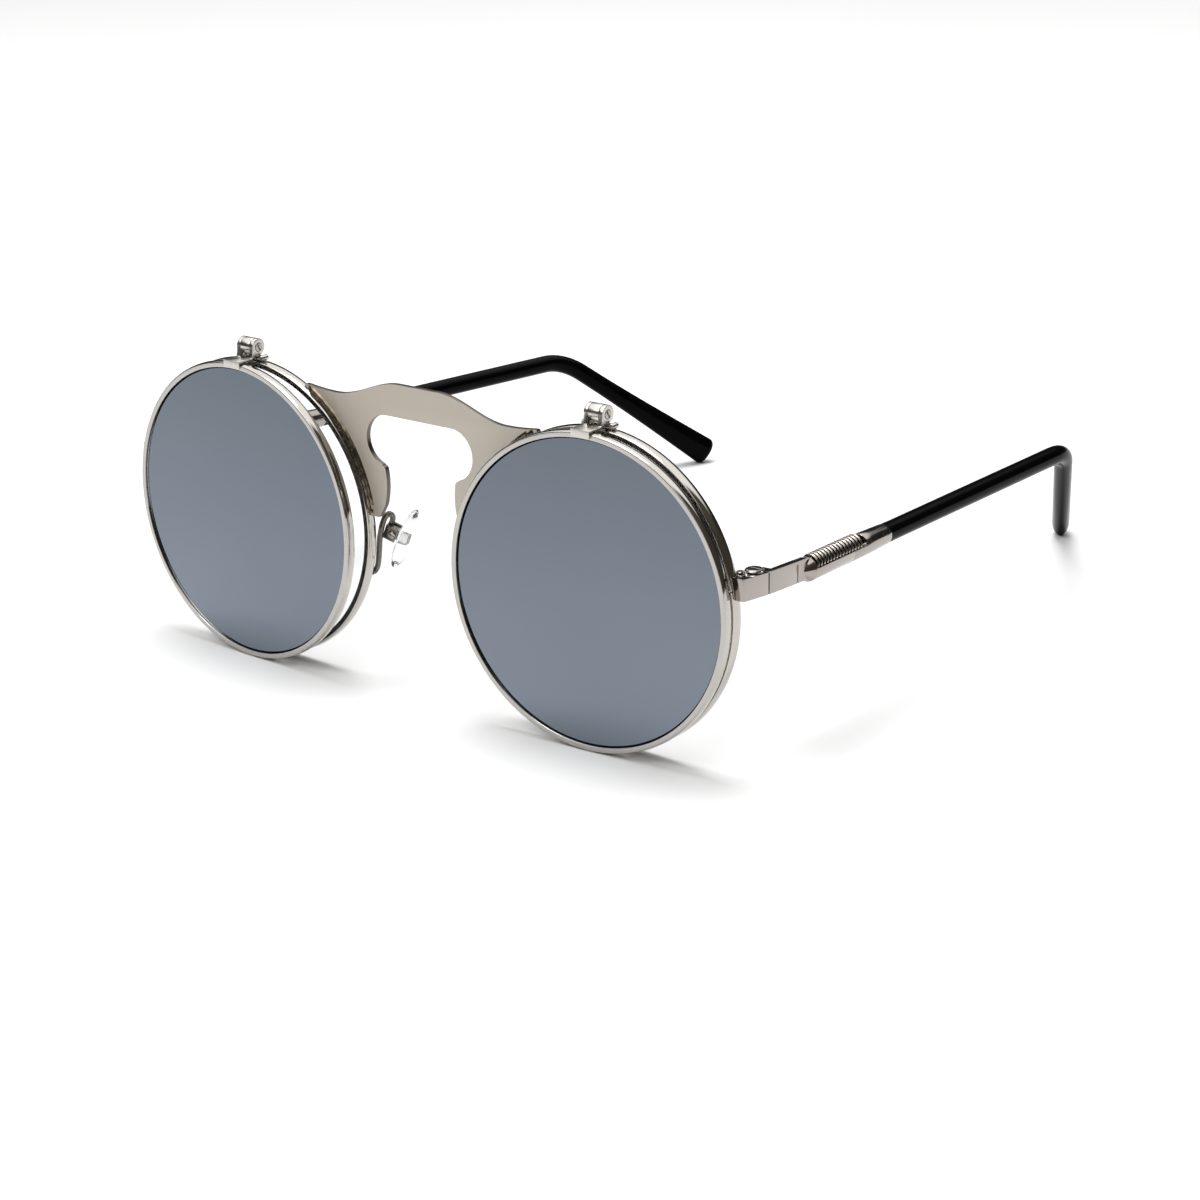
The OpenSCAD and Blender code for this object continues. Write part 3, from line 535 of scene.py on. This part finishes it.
# Satin lip: the same plate, rubbed with fine abrasive, so its reflections are soft.
lip = nickel(
    "satin_lip_nickel_plate", "#B4B1AD", (0.22, 0.3), patch=5, grain=0.15, depth=0.0005
)
for name, s in SIDES:
    rim = make(
        "flip_rim_piece_" + name,
        s,
        wrapped(lathe(flip_profile, 0)),
        polished,
        "flip_" + name,
        "polished_nickel",
        "flip_rim_" + name,
    )
    rim.data.materials.append(lip)
    # The lip is what faces forwards.
    for face in rim.data.polygons:
        if face.normal.y < -0.6:
            face.material_index = 1

# Mirrored lenses.
# Dark grey resin with a thin blue-grey mirror coat on the front. Seen from in front it
# gives back the pale room evenly; from behind it is a plain smoke tint.
mirror_coat, tree, shader, place = new_material("blue_grey_mirror_coat")
shader.inputs["Metallic"].default_value = 1
# The coat's colour drifts slowly, over about 45 mm.
tint = add(tree, "ShaderNodeTexNoise", {"Scale": 22, "Detail": 2}, Vector=place)
shade = add(
    tree,
    "ShaderNodeMix",
    {"data_type": "RGBA", 6: colour("#6B737D"), 7: colour("#757D87")},
    Factor=tint.outputs[0],
)
# Painted shade and light by height: the coat's colour is painted darker towards the top, where the
# lens looks darker, and lighter at the bottom, to cancel the card's shadow that it reflects there.
level = add(tree, "ShaderNodeSeparateXYZ", Vector=place).outputs["Z"]
painted_height_shade = add(
    tree,
    "ShaderNodeMapRange",
    {"From Min": 2 * MM, "From Max": 50 * MM, "To Min": 1.14, "To Max": 0.77},
    Value=level,
)
coat = add(tree, "ShaderNodeHueSaturation", Color=shade.outputs[2], Value=painted_height_shade.outputs[0])
tree.links.new(coat.outputs[0], shader.inputs["Base Color"])
# Finger smears of about 11 mm take the edge off the reflections.
smear = add(tree, "ShaderNodeTexNoise", {"Scale": 90, "Detail": 4}, Vector=place)
gloss = add(
    tree,
    "ShaderNodeMapRange",
    {"From Min": 0.4, "From Max": 0.8, "To Min": 0.02, "To Max": 0.06},
    Value=smear.outputs[0],
)
tree.links.new(gloss.outputs[0], shader.inputs["Roughness"])

# Smoke tint: dyed through, so the back and the bevel are nearly black and glossy.
smoke, tree, shader, place = new_material("smoke_tint_resin")
shader.inputs["Base Color"].default_value = colour("#15181B")
streak = add(tree, "ShaderNodeTexNoise", {"Scale": 120, "Detail": 4}, Vector=place)
gloss = add(
    tree, "ShaderNodeMapRange", {"To Min": 0.03, "To Max": 0.1}, Value=streak.outputs[0]
)
tree.links.new(gloss.outputs[0], shader.inputs["Roughness"])
# The narrow chamfer round the coated face shows this tint as a thin black ring. The ring is
# painted shadow of the rim's groove at the lens's edge, on an uncoated edge that is dark in its
# own right.
lens_r, shadow_chamfer, chamfer_deep, lens_bevel = 24.5, 0.21, 0.16, 0.62
lens_profile = [
    (0, 0),
    (lens_r, 0),
    (lens_r + shadow_chamfer, chamfer_deep),
    (lens_r + lens_bevel, lens_t / 2),
    (lens_r + shadow_chamfer, lens_t),
    (0, lens_t),
]
for name, s in SIDES:
    lens = make(
        "mirror_lens_piece_" + name,
        s,
        wrapped(lathe(lens_profile, 0)),
        mirror_coat,
        "flip_" + name,
        "mirror_lens",
        "mirror_lens_" + name,
        smooth=20,
    )
    lens.data.materials.append(smoke)
    # Only the front is coated; the chamfer ring round it stays dark as painted groove shadow.
    for face in lens.data.polygons:
        if face.normal.y > -0.9:
            face.material_index = 1

# Small metal fittings.
# Milled and bent nickel-silver fittings: flip hinges, end pieces, temple fronts and pad
# cups. Each takes its exact shape from the CAD solid, with its edges tumbled round.


def eased(node, width, material, body, slot):
    """A copy of a CAD node with its sharp edges rounded, standing for the node."""
    corner, big = math.radians(32), (0.5 * MM) ** 2
    bm = bmesh.new()
    bm.from_mesh(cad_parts[node].data)
    bmesh.ops.remove_doubles(bm, verts=bm.verts, dist=2e-6)
    bmesh.ops.dissolve_limit(bm, angle_limit=math.radians(0.6), verts=bm.verts, edges=bm.edges)
    sharp = [e for e in bm.edges if e.is_manifold and e.calc_face_angle(0) > corner]
    bmesh.ops.bevel(
        bm,
        geom=sharp,
        offset=width * MM,
        segments=3,
        profile=0.5,
        affect="EDGES",
        clamp_overlap=True,
    )
    bmesh.ops.recalc_face_normals(bm, faces=bm.faces)
    # Large flats stay flat, and the rounded edges and the strips of curved walls are smooth.
    for face in bm.faces:
        face.smooth = face.calc_area() < big or len(face.verts) == 4
    mesh = bpy.data.meshes.new(node + "_eased")
    bm.to_mesh(mesh)
    bm.free()
    mesh.set_sharp_from_angle(angle=math.radians(35))
    return finish(bpy.data.objects.new(node + "_piece", mesh), material, body, slot, node)


# Brushed plate: fine lines left by an abrasive belt, seen as a soft even sheen.
brushed = nickel(
    "brushed_nickel_plate", "#A19A94", (0.1, 0.16), patch=3, grain=0.1, depth=0.0002
)
# Unbuffed plate on the pad fittings: greyer, with a dull bloom in patches.
tarnished = nickel(
    "unbuffed_nickel_plate", "#6E6963", (0.2, 0.32), patch=1.5, grain=0.1, depth=0.0005
)
# Barrelled plate on the flip hinges: bright, with its reflections softened by tumbling.
tumbled = nickel(
    "tumbled_nickel_plate", "#C4C0BA", (0.2, 0.28), patch=2, grain=0.15, depth=0.0004
)
for name, _ in SIDES:
    eased("flip_clevis_" + name, 0.07, tumbled, "flip_" + name, "polished_nickel")
    eased("flip_knuckle_" + name, 0.07, tumbled, "frame", "polished_nickel")
    eased("end_piece_" + name, 0.06, brushed, "frame", "brushed_nickel")
    eased("temple_block_" + name, 0.06, brushed, "temple_" + name, "brushed_nickel")
    eased("spring_sleeve_" + name, 0.05, brushed, "temple_" + name, "brushed_nickel")
    eased("pad_box_" + name, 0.06, tarnished, "frame", "polished_nickel")
    eased("closing_barrels_" + name, 0.06, polished, "frame", "polished_nickel")

# Screws and pins.
# Turned steel screws with slotted heads, plated and slightly darker than the frame.
turned = nickel(
    "turned_screw_steel", "#A5A19C", (0.12, 0.2), patch=1.5, grain=0.08, depth=0.0006
)
for node in ("flip_pins", "temple_hinge_screws", "closing_screws", "pad_screws"):
    eased(node, 0.05, turned, "frame", "screw_steel")

# Temple springs.
# A coil of hard-drawn spring wire lies in each temple's trough, over a straight core wire.
# The wire is bright, with painted shade between the turns.
spring_wire = nickel(
    "bright_spring_wire", "#AAA49C", (0.06, 0.1), patch=1, grain=0.06, depth=0.0003
)
# Plain steel core wire, painted dark: painted shade between the bright turns.
gap_shade = nickel("painted_shade_core_wire", "#2A2725", (0.3, 0.42), patch=1, grain=0.08, depth=0.0004)
# The temple's own frame starts where it meets the end piece, on the rod's middle line.
temple_x, temple_y, temple_z = 63.5205, 9.6, 29.4
fall, inward = math.radians(2.2), math.radians(3.5)


def on_temple(p):
    """A point of the temple's own frame, +Y along it, in the glasses' millimetres."""
    x, y, z = p
    y, z = y * math.cos(fall) + z * math.sin(fall), z * math.cos(fall) - y * math.sin(fall)
    x, y = (
        x * math.cos(inward) - y * math.sin(inward),
        x * math.sin(inward) + y * math.cos(inward),
    )
    return (x + temple_x, y + temple_y, z + temple_z)


def off_temple(p, side):
    """A point of a finished mesh in the temple's own frame: on_temple turned round."""
    x, y, z = side * p.x / MM - temple_x, p.y / MM - face_y - temple_y, p.z / MM - temple_z
    x, y = (
        x * math.cos(inward) + y * math.sin(inward),
        y * math.cos(inward) - x * math.sin(inward),
    )
    y, z = y * math.cos(fall) - z * math.sin(fall), z * math.cos(fall) + y * math.sin(fall)
    return Vector((x, y, z))


def sweep(path, sizes, upright, sides):
    """Rings of points along a path. sizes are (half width along upright, half thickness)."""
    turns = [math.tau * k / sides for k in range(sides)]
    rings = []
    for i, p in enumerate(path):
        way = (path[min(i + 1, len(path) - 1)] - path[max(i - 1, 0)]).normalized()
        wide = (upright[i] - way * upright[i].dot(way)).normalized()
        deep = way.cross(wide)
        width, depth = sizes[i]
        rings.append([p + wide * width * math.cos(a) + deep * depth * math.sin(a) for a in turns])
    return rings


wire, coil_r, coil_z = 0.48, 1.46, 0.55
spring_start, spring_end, coil_turns = 12.2, 27.8, 15
# The wire's ends run straight, along the temple, before it starts to coil.
run_in = wire + 0.22
coiled = spring_end - spring_start - 2 * run_in
steps = coil_turns * 28
path = []
for i in range(steps + 1):
    a = math.tau * coil_turns * i / steps
    y = spring_start + run_in + coiled * i / steps
    path.append(Vector((coil_r * math.cos(a), y, coil_z + coil_r * math.sin(a))))
first, last = path[0], path[-1]
path = (
    [Vector((first.x, y, first.z)) for y in (spring_start, spring_start + wire)]
    + path
    + [Vector((last.x, y, last.z)) for y in (spring_end - wire, spring_end)]
)
outward = [Vector((p.x, 0, p.z - coil_z)) for p in path]
rings = sweep(path, [(wire / 2, wire / 2)] * len(path), outward, 12)
coil = loft([[on_temple(p) for p in ring] for ring in rings])

trough_r = 1.93
for name, s in SIDES:
    # The troughs' insides get the same dark colour as the core wire: painted shade round the coil.
    for node in ("temple_block_", "spring_sleeve_"):
        trough = bpy.data.objects[node + name + "_piece"]
        trough.data.materials.append(gap_shade)
        for face in trough.data.polygons:
            here = off_temple(face.center, s)
            out = off_temple(face.center + face.normal * MM, s) - here
            alongside = spring_start - 0.1 < here.y < spring_end
            off_axis = Vector((here.x, here.z - coil_z))
            inner = off_axis.length < trough_r and off_axis.dot(Vector((out.x, out.z))) < 0
            if alongside and inner:
                face.material_index = 1
    make(
        "spring_piece_" + name,
        s,
        coil,
        spring_wire,
        "temple_" + name,
        "spring_steel",
        "coil_spring_" + name,
        smooth=60,
    )
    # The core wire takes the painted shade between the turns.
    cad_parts["core_wire_" + name].material_slots[0].material = gap_shade

# Temple tips.
# Black cellulose acetate, drawn over the core wire, bent behind the ear and flattened to a
# paddle, then tumbled and buffed to a deep gloss.
acetate, tree, shader, place = new_material("black_buffed_acetate")
shader.inputs["Base Color"].default_value = colour("#040405")
shader.inputs["Specular IOR Level"].default_value = 0.03
# Buffing leaves the gloss uneven over about 3 mm, and the surface wavy over about 6 mm.
buff = add(tree, "ShaderNodeTexNoise", {"Scale": 300, "Detail": 4}, Vector=place)
gloss = add(tree, "ShaderNodeMapRange", {"To Min": 0.12, "To Max": 0.2}, Value=buff.outputs[0])
tree.links.new(gloss.outputs[0], shader.inputs["Roughness"])
wave = add(tree, "ShaderNodeTexNoise", {"Scale": 180, "Detail": 1}, Vector=place)
lift = add(
    tree, "ShaderNodeBump", {"Strength": 0.15, "Distance": 0.05 * MM}, Height=wave.outputs[0]
)
tree.links.new(lift.outputs[0], shader.inputs["Normal"])

# The tip starts at the sleeve's end. Its middle line runs to a corner 101.8 mm along the
# temple, and from there down, back and inwards to the paddle's end.
sleeve_end, corner_y, bend_r = 36.0, 101.8, 14
reach = Vector((-13.8, 30.3, -22.646))
thick, paddle, end_round = 1.64, 2.8, 1.32
collar, rod = thick + 0.04, thick + 0.1
way = reach.normalized()
bend = math.acos(way.y)
cut = bend_r * math.tan(bend / 2)
corner = Vector((0, corner_y, 0))
aside = Vector((way.x, 0, way.z)).normalized()
straight = reach.length - end_round
path, sizes = [], []
# Straight part: its first ring is fuller, against the sleeve, and it widens slowly.
for i in range(21):
    path.append(Vector((0, sleeve_end + (corner_y - cut - sleeve_end) * i / 20, 0)))
    sizes.append((thick + 0.1 * i / 34, thick) if i else (collar, collar))
# Bend.
for i in range(1, 17):
    a = bend * i / 16
    ahead = Vector((0, bend_r * math.sin(a) - cut, 0))
    path.append(corner + ahead + aside * bend_r * (1 - math.cos(a)))
    sizes.append((thick + 0.06 + 0.04 * i / 16, thick))
# Paddle, which widens slowly at first.
for i in range(1, 17):
    u = i / 16
    path.append(corner + way * (cut + (straight - cut) * u))
    sizes.append((rod + (paddle - rod) * u * u * (1.6 - 0.6 * u), thick))
# Rounded end.
for degrees in (12, 24, 36, 48, 58, 67, 75, 82, 87, 90):
    a = math.radians(degrees)
    path.append(corner + way * (reach.length - end_round * (1 - math.sin(a))))
    narrow = 1 - math.cos(a)
    sizes.append((paddle * (1 - 0.55 * narrow), thick * (1 - 0.75 * narrow)))
rings = sweep(path, sizes, [Vector((0, 0, 1))] * len(path), 40)
tip = loft([[on_temple(p) for p in ring] for ring in rings])
for name, s in SIDES:
    make(
        "tip_piece_" + name,
        s,
        tip,
        acetate,
        "temple_" + name,
        "black_acetate",
        "temple_tip_" + name,
        smooth=50,
    )

# Nose pads.
# Clear silicone moulded over a stiff lug, held by a small screw in a metal cup. The cup
# hangs on a bent wire arm that is brazed to the back of the rim.
silicone, tree, shader, place = new_material("clear_silicone")
shader.inputs["Base Color"].default_value = colour("#FDFEFE")
shader.inputs["Transmission Weight"].default_value = 0.97
shader.inputs["IOR"].default_value = 1.28
# A soft skin: the gloss changes every 1.5 mm or so.
skin = add(tree, "ShaderNodeTexNoise", {"Scale": 700, "Detail": 3}, Vector=place)
gloss = add(tree, "ShaderNodeMapRange", {"To Min": 0.03, "To Max": 0.12}, Value=skin.outputs[0])
tree.links.new(gloss.outputs[0], shader.inputs["Roughness"])

# The lug inside is injection-moulded polycarbonate, frosted by its mould's fine texture.
frosted, tree, shader, place = new_material("frosted_polycarbonate")
shader.inputs["Base Color"].default_value = colour("#F6F6F4")
shader.inputs["Transmission Weight"].default_value = 0.8
shader.inputs["IOR"].default_value = 1.32
shader.inputs["Roughness"].default_value = 0.25
mould = add(tree, "ShaderNodeTexNoise", {"Scale": 1500, "Detail": 2}, Vector=place)
lift = add(
    tree, "ShaderNodeBump", {"Strength": 0.3, "Distance": 0.02 * MM}, Height=mould.outputs[0]
)
tree.links.new(lift.outputs[0], shader.inputs["Normal"])

pad_lean, pad_splay = math.radians(24), math.radians(18)
pad_x, pad_y, pad_z = 8.2, 9.0, 24.0
pad_thick, pad_wide, pad_tall = 1.1, 3.4, 5.5


def on_pad(x, y, z):
    """A point of the pad's own frame, +X from the pad to its rim and +Z along the pad."""
    x, y = (
        x * math.cos(pad_splay) + y * math.sin(pad_splay),
        y * math.cos(pad_splay) - x * math.sin(pad_splay),
    )
    x, z = (
        x * math.cos(pad_lean) - z * math.sin(pad_lean),
        x * math.sin(pad_lean) + z * math.cos(pad_lean),
    )
    return (x + pad_x, y + pad_y, z + pad_z)


# The pad is a rounded drop, wider towards its lower end.
rows, around = 28, 40
turns = [math.tau * j / around for j in range(around)]
rings = []
for i in range(rows + 1):
    a = math.radians(-86 + 172 * i / rows)
    thickness = pad_thick * math.cos(a) ** 0.75
    width = pad_wide * math.cos(a) ** 0.75 * (1 - 0.16 * math.sin(a))
    height = pad_tall * math.sin(a)
    rings.append([on_pad(thickness * math.cos(t), width * math.sin(t), height) for t in turns])
pad = loft(rings)
for name, s in SIDES:
    make(
        "nose_pad_piece_" + name,
        s,
        pad,
        silicone,
        "pad_" + name,
        "clear_silicone",
        "nose_pad_" + name,
        smooth=60,
    )
    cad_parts["pad_lug_" + name].material_slots[0].material = frosted
    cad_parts["pad_arm_" + name].material_slots[0].material = tarnished
